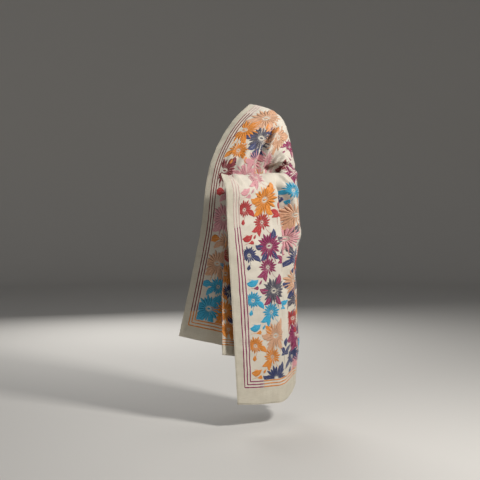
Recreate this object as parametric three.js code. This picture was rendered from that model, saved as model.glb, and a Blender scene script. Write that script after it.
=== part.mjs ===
// A kantha dupatta: one embroidered length of tussar silk, worn over the left shoulder and the bent
// left forearm of a general figure. Millimetres, +Z up, the wearer faces -Y. The origin is on the
// crest of the shoulder, at the middle of the cloth's wall.
//
// A place on the cloth is named by two numbers, as a weaver would:
//   across  0 at the long edge beside the neck, 900 at the long edge beside the hand
//   along  -1 at the hem of the first end, 0 on the crest where the cloth lies on the arm,
//          +1 at the hem of the second end
import * as THREE from "three";

// ---------------------------------------------------------------- driving sizes

const CLOTH_WIDTH = 900;
const WALL = 1.6;
const SEAM_GAP = 0.3;
const HALF_LENGTH = 1000;

// Cells across the cloth, narrower where its folds lie close together.
const ACROSS_BANDS = [
  { from: 0, to: 150, cells: 9 },
  { from: 150, to: 290, cells: 13 },
  { from: 290, to: 400, cells: 8 },
  { from: 400, to: 460, cells: 4 },
  { from: 460, to: 540, cells: 5 },
  { from: 540, to: 620, cells: 7 },
  { from: 620, to: 700, cells: 6 },
  { from: 700, to: CLOTH_WIDTH, cells: 11 },
];

// Cells along the cloth: short where it bends over the arm, long where it hangs.
const ALONG_BANDS = [
  { from: -1.0, to: -0.4, cells: 11 },
  { from: -0.4, to: -0.28, cells: 4 },
  { from: -0.28, to: -0.04, cells: 14 },
  { from: -0.04, to: 0.1, cells: 8 },
  { from: 0.1, to: 0.4, cells: 9 },
  { from: 0.4, to: 1.0, cells: 11 },
];

// ---------------------------------------------------------------- how the cloth falls

// One row for each fall: a thread that runs the length of the cloth. It starts at the first hem, comes
// up the wearer's front to the crest on the arm, and goes down again to the second hem.
// turn is where it leaves the arm, upper and lower are on its way down, hem is its end.
const FALLS = [
  { across: 0, crest: [-18, 5, 2],
    first: { turn: [-95, -45, -74], upper: [-179, -100, -222], lower: [-247, -104, -600],
      hem: [-341, -106, -1049] },
    second: { turn: [-28, 55, -12], upper: [-50, 110, -170], lower: [-75, 130, -560],
      hem: [-90, 132, -950] } },
  { across: 75, crest: [52, 6, -14],
    first: { turn: [-25, -62, -84], upper: [-112, -114, -222], lower: [-178, -106, -610],
      hem: [-265, -110, -1066] },
    second: { turn: [36, 60, -30], upper: [0, 118, -200], lower: [-35, 135, -580],
      hem: [-50, 138, -1010] } },
  { across: 145, crest: [117, 4, -50],
    first: { turn: [48, -68, -104], upper: [-45, -116, -232], lower: [-112, -102, -625],
      hem: [-195, -110, -1080] },
    second: { turn: [96, 65, -75], upper: [44, 122, -240], lower: [0, 138, -610],
      hem: [-15, 140, -1075] } },
  { across: 205, crest: [145, 0, -97],
    first: { turn: [96, -70, -136], upper: [16, -98, -246], lower: [-55, -94, -650],
      hem: [-137, -106, -1094] },
    second: { turn: [123, 68, -130], upper: [80, 124, -300], lower: [40, 137, -640],
      hem: [22, 137, -1130] } },
  { across: 265, crest: [161, -7, -156],
    first: { turn: [118, -66, -188], upper: [46, -60, -280], lower: [0, -66, -670],
      hem: [-80, -98, -1102] },
    second: { turn: [143, 68, -195], upper: [113, 116, -345], lower: [85, 130, -680],
      hem: [68, 130, -1190] } },
  { across: 340, crest: [175, -16, -225],
    first: { turn: [138, -76, -226], upper: [68, -52, -308], lower: [56, -20, -690],
      hem: [0, -82, -1112] },
    second: { turn: [165, 66, -285], upper: [148, 108, -420], lower: [140, 116, -705],
      hem: [125, 122, -1250] } },
  { across: 420, crest: [184, -28, -290],
    first: { turn: [150, -84, -262], upper: [78, -28, -328], lower: [96, 14, -710],
      hem: [66, -34, -1136] },
    second: { turn: [190, 52, -345], upper: [194, 76, -470], lower: [192, 76, -720],
      hem: [178, 82, -1284] } },
  { across: 490, crest: [168, -76, -303],
    first: { turn: [138, -86, -290], upper: [124, 10, -384], lower: [112, -32, -715],
      hem: [84, -60, -1160] },
    second: { turn: [196, -30, -368], upper: [205, 0, -500], lower: [200, 8, -730],
      hem: [193, 6, -1280] } },
  { across: 545, crest: [127, -100, -316],
    first: { turn: [88, -60, -349], upper: [80, -64, -450], lower: [70, -92, -715],
      hem: [50, -104, -1160] },
    second: { turn: [170, -104, -362], upper: [192, -68, -500], lower: [182, -56, -745],
      hem: [181, -48, -1298] } },
  { across: 605, crest: [86, -106, -312],
    first: { turn: [62, -72, -350], upper: [46, -90, -450], lower: [26, -130, -715],
      hem: [4, -142, -1152] },
    second: { turn: [122, -136, -362], upper: [139, -112, -500], lower: [155, -104, -760],
      hem: [161, -102, -1320] } },
  { across: 650, crest: [51, -132, -315],
    first: { turn: [27, -105, -353], upper: [8, -126, -455], lower: [-12, -164, -712],
      hem: [-28, -170, -1140] },
    second: { turn: [82, -164, -350], upper: [99, -162, -500], lower: [126, -158, -740],
      hem: [138, -150, -1335] } },
  { across: 740, crest: [-20, -188, -320],
    first: { turn: [-43, -162, -360], upper: [-64, -184, -460], lower: [-94, -214, -705],
      hem: [-104, -220, -1120] },
    second: { turn: [6, -220, -356], upper: [16, -208, -500], lower: [46, -198, -720],
      hem: [70, -192, -1339] } },
  { across: 800, crest: [-67, -225, -322],
    first: { turn: [-86, -198, -366], upper: [-108, -220, -460], lower: [-134, -240, -700],
      hem: [-142, -244, -1112] },
    second: { turn: [-43, -256, -358], upper: [-36, -244, -500], lower: [-9, -230, -720],
      hem: [20, -218, -1338] } },
  { across: 830, crest: [-90, -243, -323],
    first: { turn: [-100, -206, -368], upper: [-103, -200, -462], lower: [-119, -222, -700],
      hem: [-127, -227, -1112] },
    second: { turn: [-68, -274, -360], upper: [-62, -258, -500], lower: [-38, -244, -720],
      hem: [-8, -230, -1336] } },
  { across: 900, crest: [-145, -287, -326],
    first: { turn: [-110, -196, -364], upper: [-74, -178, -460], lower: [-68, -178, -700],
      hem: [-74, -184, -1124] },
    second: { turn: [-130, -306, -365], upper: [-122, -290, -500], lower: [-110, -274, -720],
      hem: [-75, -256, -1330] } },
];

// One row for each fold: a soft ridge (height above 0) or trough (below 0) along a straight line on
// the cloth. start and end are [across, mm from the crest], width is half the fold's breadth, and
// rise and fade are the shares of its length over which it grows and dies away.
const FOLDS = [
  // the crease between the chest and the arm, and the edge of cloth beside it
  { start: [168, -20], end: [246, -280], width: 14, height: -27, rise: 0.45, fade: 0.3 },
  { start: [196, -22], end: [270, -240], width: 15, height: 13, rise: 0.4, fade: 0.35 },
  // the deep fold across the crook of the arm, and the cloth that bulges over it
  { start: [262, -204], end: [400, -130], width: 20, height: -13, rise: 0.3, fade: 0.35 },
  { start: [440, -60], end: [516, 24], width: 16, height: -9, rise: 0.4, fade: 0.3 },
  { start: [296, -150], end: [440, -76], width: 20, height: 7, rise: 0.35, fade: 0.4 },
  // the folds that run from the crook over the elbow
  { start: [603, 6], end: [504, 140], width: 15, height: 10, rise: 0.3, fade: 0.4 },
  { start: [528, -10], end: [484, 110], width: 14, height: -8, rise: 0.35, fade: 0.4 },
  { start: [474, -50], end: [458, 90], width: 15, height: 6, rise: 0.4, fade: 0.4 },
  { start: [426, -60], end: [420, 80], width: 15, height: -5, rise: 0.4, fade: 0.4 },
  { start: [574, 60], end: [546, 270], width: 16, height: 11, rise: 0.3, fade: 0.5 },
  // short creases where the panel leaves the forearm
  { start: [812, 5], end: [785, 120], width: 13, height: -6, rise: 0.3, fade: 0.5 },
  { start: [770, 5], end: [748, 150], width: 15, height: 4, rise: 0.3, fade: 0.5 },
  { start: [716, 0], end: [700, 190], width: 16, height: -5, rise: 0.3, fade: 0.5 },
  // the deep fold beside the panel, and the ridges on both its sides
  { start: [624, 22], end: [606, 350], width: 16, height: -38, rise: 0.25, fade: 0.3 },
  { start: [602, 250], end: [664, 800], width: 18, height: -27, rise: 0.25, fade: 0.35 },
  { start: [662, 700], end: [672, 1080], width: 18, height: -15, rise: 0.3, fade: 0.3 },
  { start: [652, 30], end: [636, 360], width: 13, height: 7, rise: 0.3, fade: 0.4 },
  { start: [572, 250], end: [560, 1080], width: 22, height: 14, rise: 0.25, fade: 0.3 },
  // the cloth at the elbow stands out, draws in below it and stands out again above the hem
  { start: [440, 330], end: [600, 270], width: 46, height: 12, rise: 0.3, fade: 0.35 },
  { start: [440, 470], end: [610, 490], width: 56, height: -12, rise: 0.3, fade: 0.35 },
  { start: [430, 820], end: [610, 800], width: 110, height: 14, rise: 0.3, fade: 0.35 },
  // the folds that hang behind the arm and the back
  { start: [450, 260], end: [452, 1100], width: 20, height: -16, rise: 0.5, fade: 0.02 },
  { start: [410, 240], end: [408, 1100], width: 20, height: 14, rise: 0.5, fade: 0.02 },
  { start: [372, 220], end: [366, 1100], width: 20, height: -20, rise: 0.5, fade: 0.02 },
  { start: [318, 240], end: [322, 1100], width: 22, height: 19, rise: 0.5, fade: 0.02 },
  { start: [262, 300], end: [268, 1100], width: 22, height: -22, rise: 0.5, fade: 0.02 },
  { start: [206, 260], end: [204, 1100], width: 22, height: 20, rise: 0.5, fade: 0.02 },
  { start: [150, 300], end: [146, 1100], width: 22, height: -19, rise: 0.5, fade: 0.02 },
  { start: [92, 280], end: [88, 1100], width: 22, height: 16, rise: 0.5, fade: 0.02 },
  { start: [40, 340], end: [38, 1100], width: 20, height: -12, rise: 0.5, fade: 0.02 },
  // the gentle waves of the first end, over the wearer's front
  { start: [120, -1100], end: [110, -330], width: 26, height: 5, rise: 0.02, fade: 0.5 },
  { start: [185, -1100], end: [165, -330], width: 24, height: -6, rise: 0.02, fade: 0.5 },
  { start: [250, -1100], end: [232, -380], width: 24, height: 8, rise: 0.02, fade: 0.5 },
  { start: [312, -1100], end: [300, -380], width: 24, height: -9, rise: 0.02, fade: 0.5 },
  { start: [372, -1100], end: [362, -360], width: 22, height: 8, rise: 0.02, fade: 0.5 },
  // and of its layer on the inner side of the forearm
  { start: [560, -1100], end: [556, -300], width: 24, height: 6, rise: 0.02, fade: 0.5 },
  { start: [620, -1100], end: [618, -300], width: 22, height: -6, rise: 0.02, fade: 0.5 },
  { start: [690, -1100], end: [690, -300], width: 22, height: 5, rise: 0.02, fade: 0.5 },
];

// One row for each stretch of the one cloth that shows: the part of it that each solid covers.
const STRETCHES = [
  { name: "chest_fall", across: [0, 400], along: [-1, -0.04], color: 0xd9cdb8 },
  { name: "shoulder_wrap", across: [0, 460], along: [-0.04, 0.1], color: 0xe3d8c4 },
  { name: "back_fall", across: [0, 460], along: [0.1, 1], color: 0xd5c8b2 },
  { name: "inner_fall", across: [400, CLOTH_WIDTH], along: [-1, -0.04], color: 0xcdbfa6 },
  { name: "forearm_wrap", across: [460, CLOTH_WIDTH], along: [-0.04, 0.1], color: 0xe6dcc9 },
  { name: "side_fall", across: [460, 620], along: [0.1, 1], color: 0xd9ccb6 },
  { name: "front_fall", across: [620, CLOTH_WIDTH], along: [0.1, 1], color: 0xe0d5c0 },
];

// ---------------------------------------------------------------- smooth lines through points

// Weighted sum of vectors: terms is a list of [weight, vector].
function blend(terms) {
  const sum = new THREE.Vector3();
  for (const [weight, vector] of terms) sum.addScaledVector(vector, weight);
  return sum;
}

// A smooth line that passes each point at its own knot. Its slope at a point is the mean of the
// slopes on both sides, the nearer side counting more.
function smoothLine(knots, points) {
  const last = points.length - 1;
  const slopes = [];
  for (let i = 0; i < last; i += 1) {
    const step = 1 / (knots[i + 1] - knots[i]);
    slopes.push(blend([[step, points[i + 1]], [-step, points[i]]]));
  }
  const tangents = [];
  for (let i = 1; i < last; i += 1) {
    const before = knots[i] - knots[i - 1];
    const after = knots[i + 1] - knots[i];
    const span = before + after;
    tangents[i] = blend([[after / span, slopes[i - 1]], [before / span, slopes[i]]]);
  }
  tangents[0] = blend([[1.5, slopes[0]], [-0.5, tangents[1]]]);
  tangents[last] = blend([[1.5, slopes[last - 1]], [-0.5, tangents[last - 1]]]);
  return (at) => {
    let i = 0;
    while (i < last - 1 && at >= knots[i + 1]) i += 1;
    const span = knots[i + 1] - knots[i];
    const t = (at - knots[i]) / span;
    return blend([
      [(2 * t - 3) * t * t + 1, points[i]],
      [((t - 2) * t + 1) * t * span, tangents[i]],
      [(3 - 2 * t) * t * t, points[i + 1]],
      [(t - 1) * t * t * span, tangents[i + 1]],
    ]);
  };
}

// ---------------------------------------------------------------- the cloth's middle surface

// The line of one fall, with knots that measure its length from the crest, -1 and +1 at the hems.
function fallLine(fall) {
  const { first, second } = fall;
  const places = [first.hem, first.lower, first.upper, first.turn, fall.crest,
    second.turn, second.upper, second.lower, second.hem];
  const points = places.map((place) => new THREE.Vector3(...place));
  const lengths = [0];
  for (let i = 1; i < points.length; i += 1) {
    lengths.push(lengths[i - 1] + points[i].distanceTo(points[i - 1]));
  }
  const toCrest = lengths[4];
  const beyond = lengths[8] - toCrest;
  const knots = lengths.map((s) => (s <= toCrest ? (s - toCrest) / toCrest : (s - toCrest) / beyond));
  return smoothLine(knots, points);
}

const fallLines = FALLS.map(fallLine);
const fallKnots = FALLS.map((fall) => fall.across);
const courses = new Map();

// The line across the cloth at one distance along it.
function course(along) {
  if (!courses.has(along)) {
    courses.set(along, smoothLine(fallKnots, fallLines.map((line) => line(along))));
  }
  return courses.get(along);
}

function smoothStep(x) {
  const t = Math.min(Math.max(x, 0), 1);
  return t * t * (3 - 2 * t);
}

// How far all folds together lift the cloth off its smooth form at one place.
function foldHeight(across, along) {
  const place = new THREE.Vector2(across, along * HALF_LENGTH);
  let height = 0;
  for (const fold of FOLDS) {
    const start = new THREE.Vector2(...fold.start);
    const run = new THREE.Vector2(...fold.end).sub(start);
    const share = place.clone().sub(start).dot(run) / run.lengthSq();
    const nearest = start.addScaledVector(run, Math.min(Math.max(share, 0), 1));
    const fade = smoothStep(share / fold.rise) * smoothStep((1 - share) / fold.fade);
    height += fold.height * fade * Math.exp(-((place.distanceTo(nearest) / fold.width) ** 2));
  }
  return height;
}

// The smooth form without folds: its point and the two directions of the threads.
function smoothForm(across, along) {
  const reachAcross = 2;
  const reachAlong = 0.002;
  const crosswise = course(along)(across + reachAcross).sub(course(along)(across - reachAcross));
  const lengthwise = course(along + reachAlong)(across).sub(course(along - reachAlong)(across));
  const outward = crosswise.clone().cross(lengthwise).normalize();
  return { point: course(along)(across), outward };
}

function clothPoint(across, along) {
  const { point, outward } = smoothForm(across, along);
  return point.addScaledVector(outward, foldHeight(across, along));
}

// The folded cloth at one place: its point, the directions of the threads and the way out.
function clothFrame(across, along) {
  const reachAcross = 1;
  const reachAlong = 0.001;
  const crosswise = clothPoint(across + reachAcross, along)
    .sub(clothPoint(across - reachAcross, along)).normalize();
  const lengthwise = clothPoint(across, along + reachAlong)
    .sub(clothPoint(across, along - reachAlong)).normalize();
  const outward = crosswise.clone().cross(lengthwise).normalize();
  return { point: clothPoint(across, along), crosswise, lengthwise, outward };
}

// ---------------------------------------------------------------- walls with thickness

// The grid lines of a list of bands, both ends included.
function bandLines(bands) {
  const lines = [bands[0].from];
  for (const { from, to, cells } of bands) {
    for (let cell = 1; cell <= cells; cell += 1) lines.push(from + ((to - from) * cell) / cells);
  }
  return lines;
}

const ACROSS_LINES = bandLines(ACROSS_BANDS);
const ALONG_LINES = bandLines(ALONG_BANDS);

function linesWithin(lines, [low, high]) {
  const slack = 1e-6;
  return lines.filter((line) => line >= low - slack && line <= high + slack);
}

// How far a seam's edge is drawn back into its own piece: +1 at the low side, -1 at the high side,
// 0 inside the piece and at the cloth's own edges.
function drawBack(index, count, value, [low, high]) {
  if (index === 0 && value > low) return 1;
  if (index === count - 1 && value < high) return -1;
  return 0;
}

// A closed wall over one stretch: a grid of points moved out, the same grid moved in, and a rim.
function wallGeometry(stretch) {
  const acrossLines = linesWithin(ACROSS_LINES, stretch.across);
  const alongLines = linesWithin(ALONG_LINES, stretch.along);
  const columns = acrossLines.length;
  const rows = alongLines.length;
  const outer = [];
  const inner = [];
  acrossLines.forEach((across, i) => {
    alongLines.forEach((along, j) => {
      const { point, crosswise, lengthwise, outward } = clothFrame(across, along);
      const sideways = drawBack(i, columns, across, [0, CLOTH_WIDTH]);
      const endways = drawBack(j, rows, along, [-1, 1]);
      point.addScaledVector(crosswise, (sideways * SEAM_GAP) / 2);
      point.addScaledVector(lengthwise, (endways * SEAM_GAP) / 2);
      outer.push(...blend([[1, point], [WALL / 2, outward]]).toArray());
      inner.push(...blend([[1, point], [-WALL / 2, outward]]).toArray());
    });
  });

  const outside = (i, j) => i * rows + j;
  const inside = (i, j) => columns * rows + outside(i, j);
  const triangles = [];
  // Both faces of the wall, and both rims at a seam, are split along the same diagonal.
  const quad = (a, b, c, d) => triangles.push(a, b, c, a, c, d);
  for (let i = 0; i < columns - 1; i += 1) {
    for (let j = 0; j < rows - 1; j += 1) {
      quad(outside(i, j), outside(i + 1, j), outside(i + 1, j + 1), outside(i, j + 1));
      quad(inside(i, j), inside(i, j + 1), inside(i + 1, j + 1), inside(i + 1, j));
    }
  }
  for (let i = 0; i < columns - 1; i += 1) {
    quad(inside(i, 0), inside(i + 1, 0), outside(i + 1, 0), outside(i, 0));
    quad(outside(i + 1, rows - 1), inside(i + 1, rows - 1), inside(i, rows - 1), outside(i, rows - 1));
  }
  for (let j = 0; j < rows - 1; j += 1) {
    quad(outside(0, j), outside(0, j + 1), inside(0, j + 1), inside(0, j));
    quad(inside(columns - 1, j + 1), outside(columns - 1, j + 1),
      outside(columns - 1, j), inside(columns - 1, j));
  }

  const geometry = new THREE.BufferGeometry();
  geometry.setAttribute("position", new THREE.Float32BufferAttribute([...outer, ...inner], 3));
  geometry.setIndex(triangles);
  geometry.computeVertexNormals();
  return geometry;
}

// ---------------------------------------------------------------- the dupatta

const dupatta = new THREE.Group();
for (const stretch of STRETCHES) {
  const material = new THREE.MeshStandardMaterial({
    color: stretch.color,
    roughness: 0.78,
    metalness: 0,
    side: THREE.FrontSide,
  });
  const wall = new THREE.Mesh(wallGeometry(stretch), material);
  wall.name = stretch.name;
  dupatta.add(wall);
}

export default dupatta;
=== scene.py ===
# %% [markdown]
# # A kantha dupatta
#
# A kantha dupatta is a length of undyed tussar silk, 0.90 m by 2.00 m, worked all over by hand with
# flowers and leaves in rows of short running stitches. Here it is worn: its middle lies on the left
# shoulder and the bent left forearm, and its two ends hang free. The wearer isn't modelled.
#
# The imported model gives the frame. It is loaded first, and nothing in it is moved or resized.

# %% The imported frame
import math

import bpy
import numpy as np
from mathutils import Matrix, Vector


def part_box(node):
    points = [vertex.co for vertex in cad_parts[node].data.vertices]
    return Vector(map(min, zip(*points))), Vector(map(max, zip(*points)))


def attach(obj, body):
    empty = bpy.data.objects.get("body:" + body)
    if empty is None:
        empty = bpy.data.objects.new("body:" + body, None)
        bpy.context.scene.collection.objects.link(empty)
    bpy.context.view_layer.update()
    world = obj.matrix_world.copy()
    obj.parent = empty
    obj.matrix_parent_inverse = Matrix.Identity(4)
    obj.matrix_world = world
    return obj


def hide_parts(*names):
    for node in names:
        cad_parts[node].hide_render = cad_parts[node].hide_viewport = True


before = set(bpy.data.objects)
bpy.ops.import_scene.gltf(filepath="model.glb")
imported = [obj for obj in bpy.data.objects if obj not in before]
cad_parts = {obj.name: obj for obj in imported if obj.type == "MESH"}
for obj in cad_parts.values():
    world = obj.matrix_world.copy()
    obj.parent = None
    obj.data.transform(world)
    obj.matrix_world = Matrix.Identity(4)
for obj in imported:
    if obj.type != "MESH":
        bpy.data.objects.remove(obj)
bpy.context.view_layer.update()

MM = 0.001
CLOTH_WIDTH = 900.0
CLOTH_LENGTH = 2000.0

for node in sorted(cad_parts):
    low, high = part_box(node)
    print(f"{node:14s} {[round((b - a) / MM) for a, b in zip(low, high)]} mm")

# %% [markdown]
# ## The camera
#
# The camera stands at chest height in front of the wearer and looks very slightly down, with a short
# telephoto lens. It is set first, so that every render has the final framing.

# %% Camera
CAMERA_PLACE = (-0.0644, -4.6, -0.372)
CAMERA_DIP = math.radians(3.09)

lens = bpy.data.cameras.new("camera")
lens.lens = 75
lens.sensor_width = 36
camera = bpy.data.objects.new("camera", lens)
camera.location = CAMERA_PLACE
camera.rotation_euler = (math.pi / 2 - CAMERA_DIP, 0, 0)
bpy.context.scene.collection.objects.link(camera)
bpy.context.scene.camera = camera
print("camera at", CAMERA_PLACE)

# %% [markdown]
# ## How the cloth falls
#
# Cloth that lies over an arm could be simulated, but a draped length that has to match a given pose is
# easier to steer through listed points. A few threads that run the length of the cloth, the falls, are
# placed point by point. Smooth lines through those points, and smooth lines across from fall to fall, give
# the whole surface. Folds are then added as soft ridges and troughs along straight lines on the cloth.
#
# A place on the cloth has two numbers: across, in mm from the long edge beside the neck, and along,
# -1 at the first hem, 0 on the crest where the cloth lies on the arm and +1 at the second hem.

# %% The falls
# Columns: across, then the fall's places in mm: four from the first hem upwards, and on the next line
#          the one on the crest and four from there down to the second hem
FALLS = [
    (0, (-341, -106, -1049), (-247, -104, -600), (-179, -100, -222), (-95, -45, -74),
     (-18, 5, 2), (-28, 55, -12), (-50, 110, -170), (-75, 130, -560), (-90, 132, -950)),
    (75, (-265, -110, -1066), (-178, -106, -610), (-112, -114, -222), (-25, -62, -84),
     (52, 6, -14), (36, 60, -30), (0, 118, -200), (-35, 135, -580), (-50, 138, -1010)),
    (145, (-195, -110, -1080), (-112, -102, -625), (-45, -116, -232), (48, -68, -104),
     (117, 4, -50), (96, 65, -75), (44, 122, -240), (0, 138, -610), (-15, 140, -1075)),
    (205, (-137, -106, -1094), (-55, -94, -650), (16, -98, -246), (96, -70, -136),
     (145, 0, -97), (123, 68, -130), (80, 124, -300), (40, 137, -640), (22, 137, -1130)),
    (265, (-80, -98, -1102), (0, -66, -670), (46, -60, -280), (118, -66, -188),
     (161, -7, -156), (143, 68, -195), (113, 116, -345), (85, 130, -680), (68, 130, -1190)),
    (340, (0, -82, -1112), (56, -20, -690), (68, -52, -308), (138, -76, -226),
     (175, -16, -225), (165, 66, -285), (148, 108, -420), (140, 116, -705), (125, 122, -1250)),
    (420, (66, -34, -1136), (96, 14, -710), (78, -28, -328), (150, -84, -262),
     (184, -28, -290), (190, 52, -345), (194, 76, -470), (192, 76, -720), (178, 82, -1284)),
    (490, (84, -60, -1160), (112, -32, -715), (124, 10, -384), (138, -86, -290),
     (168, -76, -303), (196, -30, -368), (205, 0, -500), (200, 8, -730), (193, 6, -1280)),
    (545, (50, -104, -1160), (70, -92, -715), (80, -64, -450), (88, -60, -349),
     (127, -100, -316), (170, -104, -362), (192, -68, -500), (182, -56, -745), (181, -48, -1298)),
    (605, (4, -142, -1152), (26, -130, -715), (46, -90, -450), (62, -72, -350),
     (86, -106, -312), (122, -136, -362), (139, -112, -500), (155, -104, -760), (161, -102, -1320)),
    (650, (-28, -170, -1140), (-12, -164, -712), (8, -126, -455), (27, -105, -353),
     (51, -132, -315), (82, -164, -350), (99, -162, -500), (126, -158, -740), (138, -150, -1335)),
    (740, (-104, -220, -1120), (-94, -214, -705), (-64, -184, -460), (-43, -162, -360),
     (-20, -188, -320), (6, -220, -356), (16, -208, -500), (46, -198, -720), (70, -192, -1339)),
    (800, (-142, -244, -1112), (-134, -240, -700), (-108, -220, -460), (-86, -198, -366),
     (-67, -225, -322), (-43, -256, -358), (-36, -244, -500), (-9, -230, -720), (20, -218, -1338)),
    (830, (-127, -227, -1112), (-119, -222, -700), (-103, -200, -462), (-100, -206, -368),
     (-90, -243, -323), (-68, -274, -360), (-62, -258, -500), (-38, -244, -720), (-8, -230, -1336)),
    (900, (-74, -184, -1124), (-68, -178, -700), (-74, -178, -460), (-110, -196, -364),
     (-145, -287, -326), (-130, -306, -365), (-122, -290, -500), (-110, -274, -720), (-75, -256, -1330)),
]
CREST_PLACE = 4  # the crest's index among a fall's places
print(len(FALLS), "falls of", len(FALLS[0]) - 1, "places")

# %% The folds
# Columns: start across, start from the crest, end across, end from the crest,
#          half breadth, height, share of the length to rise, share to fade
# From the crest, a place is counted in thousandths of its half of the cloth, which is close to mm
FOLDS = [
    # the crease between the chest and the arm, and the edge of cloth beside it
    (168, -20, 246, -280, 14, -27, 0.45, 0.30),
    (196, -22, 270, -240, 15, 13, 0.40, 0.35),
    # the deep fold across the crook of the arm, and the cloth that bulges over it
    (262, -204, 400, -130, 20, -13, 0.30, 0.35),
    (440, -60, 516, 24, 16, -9, 0.40, 0.30),
    (296, -150, 440, -76, 20, 7, 0.35, 0.40),
    # the folds that run from the crook over the elbow
    (603, 6, 504, 140, 15, 10, 0.30, 0.40),
    (528, -10, 484, 110, 14, -8, 0.35, 0.40),
    (474, -50, 458, 90, 15, 6, 0.40, 0.40),
    (426, -60, 420, 80, 15, -5, 0.40, 0.40),
    (574, 60, 546, 270, 16, 11, 0.30, 0.50),
    # short creases where the panel leaves the forearm
    (812, 5, 785, 120, 13, -6, 0.30, 0.50),
    (770, 5, 748, 150, 15, 4, 0.30, 0.50),
    (716, 0, 700, 190, 16, -5, 0.30, 0.50),
    # the deep fold beside the panel, and the ridges on both its sides
    (624, 22, 606, 350, 16, -38, 0.25, 0.30),
    (602, 250, 664, 800, 18, -27, 0.25, 0.35),
    (662, 700, 672, 1080, 18, -15, 0.30, 0.30),
    (652, 30, 636, 360, 13, 7, 0.30, 0.40),
    (572, 250, 560, 1080, 22, 14, 0.25, 0.30),
    # the cloth at the elbow stands out, draws in below it and stands out again above the hem
    (440, 330, 600, 270, 46, 12, 0.30, 0.35),
    (440, 470, 610, 490, 56, -12, 0.30, 0.35),
    (430, 820, 610, 800, 110, 14, 0.30, 0.35),
    # the folds that hang behind the arm and the back
    (450, 260, 452, 1100, 20, -16, 0.50, 0.02),
    (410, 240, 408, 1100, 20, 14, 0.50, 0.02),
    (372, 220, 366, 1100, 20, -20, 0.50, 0.02),
    (318, 240, 322, 1100, 22, 19, 0.50, 0.02),
    (262, 300, 268, 1100, 22, -22, 0.50, 0.02),
    (206, 260, 204, 1100, 22, 20, 0.50, 0.02),
    (150, 300, 146, 1100, 22, -19, 0.50, 0.02),
    (92, 280, 88, 1100, 22, 16, 0.50, 0.02),
    (40, 340, 38, 1100, 20, -12, 0.50, 0.02),
    # the gentle waves of the first end, over the wearer's front
    (120, -1100, 110, -330, 26, 5, 0.02, 0.50),
    (185, -1100, 165, -330, 24, -6, 0.02, 0.50),
    (250, -1100, 232, -380, 24, 8, 0.02, 0.50),
    (312, -1100, 300, -380, 24, -9, 0.02, 0.50),
    (372, -1100, 362, -360, 22, 8, 0.02, 0.50),
    # and of its layer on the inner side of the forearm
    (560, -1100, 556, -300, 24, 6, 0.02, 0.50),
    (620, -1100, 618, -300, 22, -6, 0.02, 0.50),
    (690, -1100, 690, -300, 22, 5, 0.02, 0.50),
]
print(len(FOLDS), "folds")

# %% [markdown]
# The finer creases are the looks' own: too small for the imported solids, but the eye reads them as
# cloth. They are as uneven as a crumpled silk is, and the hidden sides have some too.

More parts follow.
